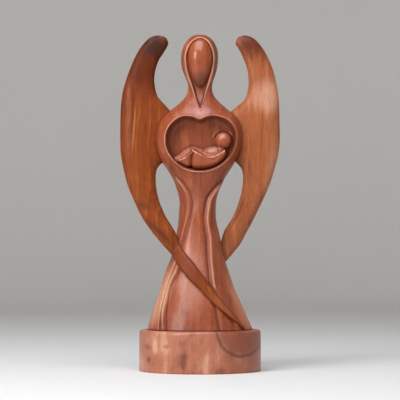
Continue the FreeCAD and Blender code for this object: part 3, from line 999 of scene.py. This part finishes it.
def woodSkin(name, look):
    material, tree, shader = newMaterial(name)
    coords = addNode(tree, "TexCoord").outputs["Object"]
    warp = addNode(tree, "TexNoise", {"Vector": coords, "Scale": look["warpScale"],
                                      "Detail": 1.0}).outputs["Color"]
    warp = addNode(tree, "VectorMath", {0: warp, 1: (0.5, 0.5, 0.5)}, operation="SUBTRACT").outputs[0]
    warp = addNode(tree, "VectorMath", {0: warp, "Scale": look["warp"]}, operation="SCALE").outputs[0]
    bent = addNode(tree, "VectorMath", {0: coords, 1: warp}, operation="ADD").outputs[0]
    turn = tuple(math.radians(angle) for angle in look["lean"])
    grain, fine = [addNode(tree, "Mapping", {"Vector": bent, "Rotation": turn,
                                             "Scale": (1, 1, stretch)}).outputs[0]
                   for stretch in (look["stretch"], look["fibreStretch"])]

    rings = addNode(tree, "TexWave", {"Vector": grain, "Scale": look["ringScale"],
                                      "Distortion": look["ringWander"], "Detail": 3.0,
                                      "Detail Scale": 1.4, "Detail Roughness": 0.6},
                    wave_type="BANDS", bands_direction="X", wave_profile="SAW").outputs["Fac"]
    figure = noiseField(tree, grain, look["figureScale"], 4.0, 0.6)
    mottle = noiseField(tree, coords, look["mottleScale"], 3.0, 0.55)
    fibres = noiseField(tree, fine, look["fibreScale"], 3.0, 0.65)
    pores = noiseField(tree, fine, look["fibreScale"] * 2.1, 1.0, 0.5)
    pores = fade(tree, pores, *look["poreRange"])

    share = 0.5
    for pattern, amount in ((rings, "rings"), (figure, "figure"), (mottle, "mottle"), (fibres, "fibre")):
        centred = calculate(tree, "SUBTRACT", pattern, 0.5)
        share = calculate(tree, "MULTIPLY_ADD", centred, look[amount], share)
    ramp = addNode(tree, "ValToRGB", {0: share})
    ramp.color_ramp.interpolation = "EASE"
    stops = ramp.color_ramp.elements
    stops[0].position, stops[0].color = look["darkStop"], tone(*look["dark"])
    stops[1].position, stops[1].color = look["lightStop"], tone(*look["light"])
    middle = stops.new(0.5)
    middle.color = tone(*look["mid"])
    colour = ramp.outputs["Color"]

    ragged = noiseField(tree, grain, look["figureScale"] * 1.3, 3.0, 0.6)
    ragged = calculate(tree, "SUBTRACT", ragged, 0.5)
    for at, size, angle, patchColour, *edge in look["patches"]:
        mask = patchMask(tree, coords, ragged, at, size, angle, *edge)
        colour = blendColour(tree, mask, colour, tone(*patchColour))
    colour = blendColour(tree, calculate(tree, "MULTIPLY", pores, look["pores"]), colour, tone(*look["pore"]))

    # painted light: creases darken towards the deep colour as painted shade, and ridges turn pale, partly
    # rubbed wear and partly painted highlight
    hollow = addNode(tree, "Attribute", attribute_name="hollow").outputs["Fac"]
    crease = fade(tree, hollow, look["creaseStart"], look["creaseEnd"], 0.0, look["crease"])
    edge = fade(tree, hollow, look["wearAndSheenStart"], look["wearAndSheenStart"] - 0.5, 0.0, look["wearAndSheen"])
    colour = blendColour(tree, crease, colour, tone(*look["deep"]))
    colour = blendColour(tree, edge, colour, tone(*look["wornAndSheen"]))
    tree.links.new(colour, shader.inputs["Base Color"])

    # the fibres and the mottle change the gloss both ways, and a crease only dulls it
    rough = calculate(tree, "MULTIPLY_ADD", fibres, look["fibreRough"],
                      look["roughness"] - look["fibreRough"] / 2)
    rough = calculate(tree, "MULTIPLY_ADD", crease, look["creaseRough"], rough)
    rough = calculate(tree, "MULTIPLY_ADD", mottle, look["mottleRough"],
                      calculate(tree, "SUBTRACT", rough, look["mottleRough"] / 2))
    tree.links.new(rough, shader.inputs["Roughness"])
    relief = calculate(tree, "MULTIPLY_ADD", pores, -look["poreDepth"],
                       calculate(tree, "MULTIPLY", fibres, look["fibreHeight"]))
    bump = addNode(tree, "Bump", {"Height": relief, "Strength": look["bump"], "Distance": look["relief"]})
    tree.links.new(bump.outputs[0], shader.inputs["Normal"])
    shader.inputs["Coat Weight"].default_value = look["polish"]
    shader.inputs["Coat Roughness"].default_value = look["polishRoughness"]
    shader.inputs["Specular IOR Level"].default_value = look["specular"]
    print("material:", name)
    return material


plainWood = {
    "dark": (94, 38, 16), "mid": (146, 68, 31), "light": (182, 102, 54),
    "darkStop": 0.12, "lightStop": 0.90,
    # the deep colour is painted shade in creases; the worn colour is rubbed wear and painted highlight on
    # ridges
    "deep": (70, 30, 20), "wornAndSheen": (206, 140, 104), "pore": (78, 34, 18),
    "warpScale": 16.0, "warp": 0.010, "lean": (0, 0, 0), "stretch": 0.10,
    "ringScale": 34.0, "ringWander": 5.0, "rings": 0.20,
    "figureScale": 130.0, "figure": 0.75, "mottleScale": 24.0, "mottle": 0.55,
    "fibreScale": 900.0, "fibreStretch": 0.045, "fibre": 0.50, "pores": 0.45,
    "poreRange": (0.60, 0.72),
    # strength and start of the painted shade in creases, and of the ridges' pale of wear and painted
    # highlight
    "crease": 0.75, "creaseStart": 0.15, "creaseEnd": 1.0, "wearAndSheen": 0.35, "wearAndSheenStart": -0.45,
    "roughness": 0.43, "fibreRough": 0.14, "creaseRough": 0.25, "mottleRough": 0.08,
    "bump": 0.35, "fibreHeight": 0.8, "poreDepth": 0.7, "relief": 0.00025,   # metres
    "polish": 0.20, "polishRoughness": 0.20,
    "specular": 0.32, "patches": [],
}

# A patch is a place, its half sizes in metres, its turn in degrees, its colour and strength, the share
# of it that is solid, how ragged its edge is and, for one that is only a ring, the ring's width.
looks = {
    # her ridges and lips turn paler, partly rubbed wear and partly painted highlight
    "mother": dict(plainWood, mid=(142, 66, 34), light=(178, 100, 60), wearAndSheen=0.45,
                   wornAndSheen=(214, 156, 128), patches=[
        # painted highlight: a pale sheen on the gown's middle panel
        ((-0.006, -0.035, 0.086), (0.017, 0.05, 0.048), 0, (196, 136, 114), 0.50, 0.2, 0.5),
        # painted highlight: a pale sheen on the fold at the gown's left flank
        ((-0.034, -0.02, 0.066), (0.009, 0.05, 0.042), 22, (212, 160, 126), 0.60, 0.2, 0.5),
        # painted highlight: a faint pale sheen on the panel below the waist
        ((-0.004, -0.02, 0.150), (0.010, 0.04, 0.016), 0, (160, 112, 100), 0.20, 0.1, 0.5),
        # painted highlight on the chest, below the hood's point
        ((0.000, -0.024, 0.229), (0.012, 0.03, 0.008), 0, (200, 144, 138), 0.35, 0.1, 0.5),
        # painted shade on the right side of the hood
        ((0.017, -0.010, 0.275), (0.008, 0.03, 0.024), 0, (96, 42, 26), 0.55, 0.2, 0.5),
        # painted highlight on the big fold at the gown's right flank
        ((0.036, -0.02, 0.060), (0.009, 0.05, 0.044), -22, (206, 124, 82), 0.75, 0.2, 0.5),
    ]),
    "head": dict(plainWood, dark=(104, 42, 18), mid=(152, 72, 34), light=(182, 102, 58),
                 figure=0.5, mottle=0.35, roughness=0.34, polish=0.45,
                 polishRoughness=0.13, lean=(0, 10, 0), patches=[
        # painted shadow under the chin
        ((0.0, -0.010, 0.257), (0.010, 0.02, 0.012), 0, (72, 28, 14), 0.75, 0.2, 0.4),
    ]),
    # its crests turn pale, partly rubbed wear and partly painted highlight, and its creases take strong
    # painted shade
    "baby": dict(plainWood, mid=(150, 72, 38), light=(184, 106, 64), wornAndSheen=(224, 176, 154),
                 figure=0.45, fibreScale=1500.0,
                 crease=0.85, creaseStart=0.08, creaseEnd=0.7, wearAndSheen=0.75, wearAndSheenStart=-0.14, patches=[
        # painted highlight on the upward face of its chest
        ((babyX + 0.0110, -0.014, babyZ - 0.0062), (0.0085, 0.01, 0.0034), -6,
         (206, 156, 142), 0.5, 0.3, 0.2),
        # painted highlight on the top of its head
        ((babyX + 0.0185, -0.020, babyZ + 0.0060), (0.0050, 0.01, 0.0040), -20,
         (214, 160, 140), 0.35, 0.2, 0.2),
    ]),
    "rightWing": dict(plainWood, dark=(80, 32, 12), mid=(126, 58, 22), light=(162, 90, 38),
                      lean=(0, -9, 0), wearAndSheen=0.15, figure=0.85, specular=0.10, polish=0.05, patches=[
        # painted shade over the wing's upper part, which faces away from the light
        ((-0.052, 0.0, 0.274), (0.032, 0.05, 0.042), 20, (84, 32, 10), 0.85, 0.3, 0.8),
        ((-0.016, -0.03, 0.094), (0.034, 0.06, 0.030), 0, (116, 50, 24), 0.5, 0.4, 0.5),
        ((0.022, -0.03, 0.056), (0.022, 0.06, 0.026), 0, (170, 94, 58), 0.5, 0.4, 0.5),
        ((-0.040, 0.006, 0.289), (0.014, 0.03, 0.018), 35, (50, 28, 20), 0.85, 0.35, 1.2),
        ((-0.0585, 0.0, 0.218), (0.0016, 0.03, 0.034), 4, (186, 118, 52), 0.55, 0.1, 0.8),
        ((-0.036, -0.02, 0.123), (0.004, 0.05, 0.024), -46, (80, 40, 24), 0.75, 0.2, 0.8),
        ((-0.050, -0.005, 0.146), (0.005, 0.05, 0.010), -60, (84, 40, 20), 0.6, 0.2, 1.0),
    ]),
    "leftWing": dict(plainWood, dark=(104, 46, 24), mid=(152, 84, 48), light=(184, 114, 72),
                     lean=(0, 9, 0), wearAndSheen=0.15, specular=0.14, polish=0.08, patches=[
        # painted reflection: a pale sheen on the wing's upper part
        ((0.060, 0.0, 0.244), (0.020, 0.04, 0.022), 10, (208, 156, 130), 0.55, 0.2, 0.8),
        # painted sheen down the wing's outer side
        ((0.066, 0.0, 0.185), (0.010, 0.04, 0.040), 12, (204, 146, 112), 0.4, 0.1, 0.8),
        ((0.046, 0.0, 0.295), (0.024, 0.04, 0.028), -40, (84, 30, 12), 0.85, 0.2, 0.8),
    ]),
    "plinth": dict(plainWood, dark=(116, 58, 36), mid=(170, 102, 74), light=(200, 144, 116),
                   stretch=0.60, figure=0.9, mottle=1.0, rings=0.10, mottleScale=38.0, figureScale=80.0,
                   fibre=0.25, pores=0.25, polish=0.35, patches=[
        # painted shade on the right side, where the plinth turns from the light
        ((0.040, -0.03, 0.020), (0.034, 0.06, 0.032), 0, (140, 68, 40), 0.55, 0.3, 0.5),
        ((0.036, -0.03, 0.0375), (0.0225, 0.06, 0.0225), 0, (128, 58, 34), 0.6, 0.8, 0.12),
        ((0.036, -0.03, 0.0375), (0.0225, 0.06, 0.0225), 0, (86, 42, 30), 0.75, 0.5, 0.12, 0.12),
        ((-0.0450, -0.03, 0.0115), (0.0030, 0.04, 0.0042), 0, (80, 42, 32), 0.7, 0.1, 0.9),
        ((-0.0455, -0.03, 0.0225), (0.0050, 0.04, 0.0036), 20, (104, 56, 40), 0.6, 0.1, 0.9),
        ((-0.0290, -0.03, 0.0235), (0.0044, 0.04, 0.0028), 0, (112, 58, 40), 0.5, 0.1, 0.9),
        ((-0.0035, -0.03, 0.0070), (0.0044, 0.04, 0.0040), 0, (120, 64, 44), 0.5, 0.1, 0.9),
        # painted reflection: a pale upright streak on the left side
        ((-0.0392, -0.03, 0.0235), (0.0032, 0.04, 0.0095), 0, (222, 180, 152), 0.5, 0.3, 0.3),
    ]),
}


def plainMetal(name, colour, roughness):
    # zinc-plated steel: cloudy spangle and fine turning marks
    material, tree, shader = newMaterial(name)
    coords = addNode(tree, "TexCoord").outputs["Object"]
    clouds = noiseField(tree, coords, 420.0, 3.0, 0.6)
    marks = addNode(tree, "TexWave", {"Vector": coords, "Scale": 900.0, "Distortion": 1.5},
                    bands_direction="Z").outputs["Fac"]
    tree.links.new(blendColour(tree, clouds, tone(*colour), tone(*[c * 0.72 for c in colour])),
                   shader.inputs["Base Color"])
    tree.links.new(calculate(tree, "MULTIPLY_ADD", clouds, 0.2, roughness), shader.inputs["Roughness"])
    bump = addNode(tree, "Bump", {"Height": marks, "Strength": 0.25, "Distance": 0.0001})
    tree.links.new(bump.outputs[0], shader.inputs["Normal"])
    shader.inputs["Metallic"].default_value = 1.0
    return material


beech = dict(plainWood, dark=(176, 130, 92), mid=(204, 160, 118), light=(220, 182, 142), pore=(150, 104, 70),
             wornAndSheen=(226, 192, 154), deep=(120, 84, 56), polish=0.0, roughness=0.62, fibreScale=1600.0)

for piece, look, slot, node in (
        (mother, "mother", "mother_wood", "mother"), (head, "head", "head_wood", "head"),
        (baby, "baby", "baby_wood", "baby"), (leftWing, "leftWing", "wing_wood", "left_wing"),
        (rightWing, "rightWing", "wing_wood", "right_wing"), (plinth, "plinth", "plinth_wood", "plinth")):
    piece.data.materials.clear()
    piece.data.materials.append(woodSkin(look + "Wood", looks[look]))
    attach(piece, "root")
    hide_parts(node)

dowelWood = woodSkin("beechDowel", beech)
screwSteel = plainMetal("zincSteel", (190, 192, 196), 0.28)
for node, material in (("left_wing_dowels", dowelWood), ("right_wing_dowels", dowelWood),
                       ("plinth_screws", screwSteel)):
    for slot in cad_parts[node].material_slots:
        slot.material = material


stageLook = {"colour": (228, 225, 220), "flat": 1.45, "bend": 0.5, "height": 2.6}


def makeFloor():
    # a plain floor that bends up into a wall all round, like a bowl
    flat, bend = stageLook["flat"], stageLook["bend"]
    bm = bmesh.new()
    line = [bm.verts.new((flat * step / 6, 0, 0)) for step in range(7)]
    line += [bm.verts.new((flat + bend * math.sin(math.radians(angle)), 0,
                           bend * (1 - math.cos(math.radians(angle))))) for angle in range(6, 91, 6)]
    line.append(bm.verts.new((flat + bend, 0, stageLook["height"])))
    edges = [bm.edges.new(pair) for pair in zip(line, line[1:])]
    bmesh.ops.spin(bm, geom=line + edges, axis=(0, 0, 1), cent=(0, 0, 0), steps=96, angle=math.tau,
                   use_merge=True)
    bmesh.ops.remove_doubles(bm, verts=bm.verts, dist=1e-5)
    floor = objectFrom(bm, "floor_bowl")
    material, tree, shader = newMaterial("palePaper")
    coords = addNode(tree, "TexCoord").outputs["Object"]
    tint = noiseField(tree, coords, 3.0, 2.0)
    paper = tone(*stageLook["colour"])
    tree.links.new(blendColour(tree, tint, paper, tuple(c * 0.95 for c in paper[:3]) + (1,)),
                   shader.inputs["Base Color"])
    shader.inputs["Roughness"].default_value = 0.75
    floor.data.materials.append(material)


def areaLight(name, place, aim, size, power, colour):
    data = bpy.data.lights.new(name, "AREA")
    data.shape = "RECTANGLE"
    data.size, data.size_y = size
    data.energy = power
    data.color = colour
    light = bpy.data.objects.new(name, data)
    light.location = place
    light.rotation_euler = (Vector(aim) - Vector(place)).to_track_quat("-Z", "Y").to_euler()
    bpy.context.scene.collection.objects.link(light)


makeFloor()

# each light: its place, what it looks at, its size, its power and its colour
lightLook = {
    "sky": ((-0.15, -0.50, 1.10), (0, 0, 0.15), (1.0, 0.9), 16.0, (0.84, 0.90, 1.0)),
    "key": ((-0.85, -1.00, 0.55), (0, 0, 0.17), (0.45, 0.6), 9.5, (1.0, 0.97, 0.93)),
    "fill": ((1.0, -0.90, 0.40), (0, 0, 0.15), (0.8, 0.8), 1.0, (0.97, 0.97, 1.0)),
}
roomLook = {"colour": (0.86, 0.90, 0.92, 1), "strength": 0.18}
cameraLook = {"place": (0, -1.6, 0.115), "aim": (0, 0, 0.1515), "lens": 161.8}

for name, setting in lightLook.items():
    areaLight(name, *setting)
world = bpy.data.worlds.new("paleRoom")
world.use_nodes = True
world.node_tree.nodes["Background"].inputs["Color"].default_value = roomLook["colour"]
world.node_tree.nodes["Background"].inputs["Strength"].default_value = roomLook["strength"]
bpy.context.scene.world = world
bpy.context.scene.view_settings.view_transform = "Standard"

cameraData = bpy.data.cameras.new("camera")
cameraData.lens = cameraLook["lens"]
camera = bpy.data.objects.new("camera", cameraData)
camera.location = cameraLook["place"]
camera.rotation_euler = (Vector(cameraLook["aim"]) - camera.location).to_track_quat("-Z", "Y").to_euler()
bpy.context.scene.collection.objects.link(camera)
bpy.context.scene.camera = camera
print("stage, lights and camera ready")
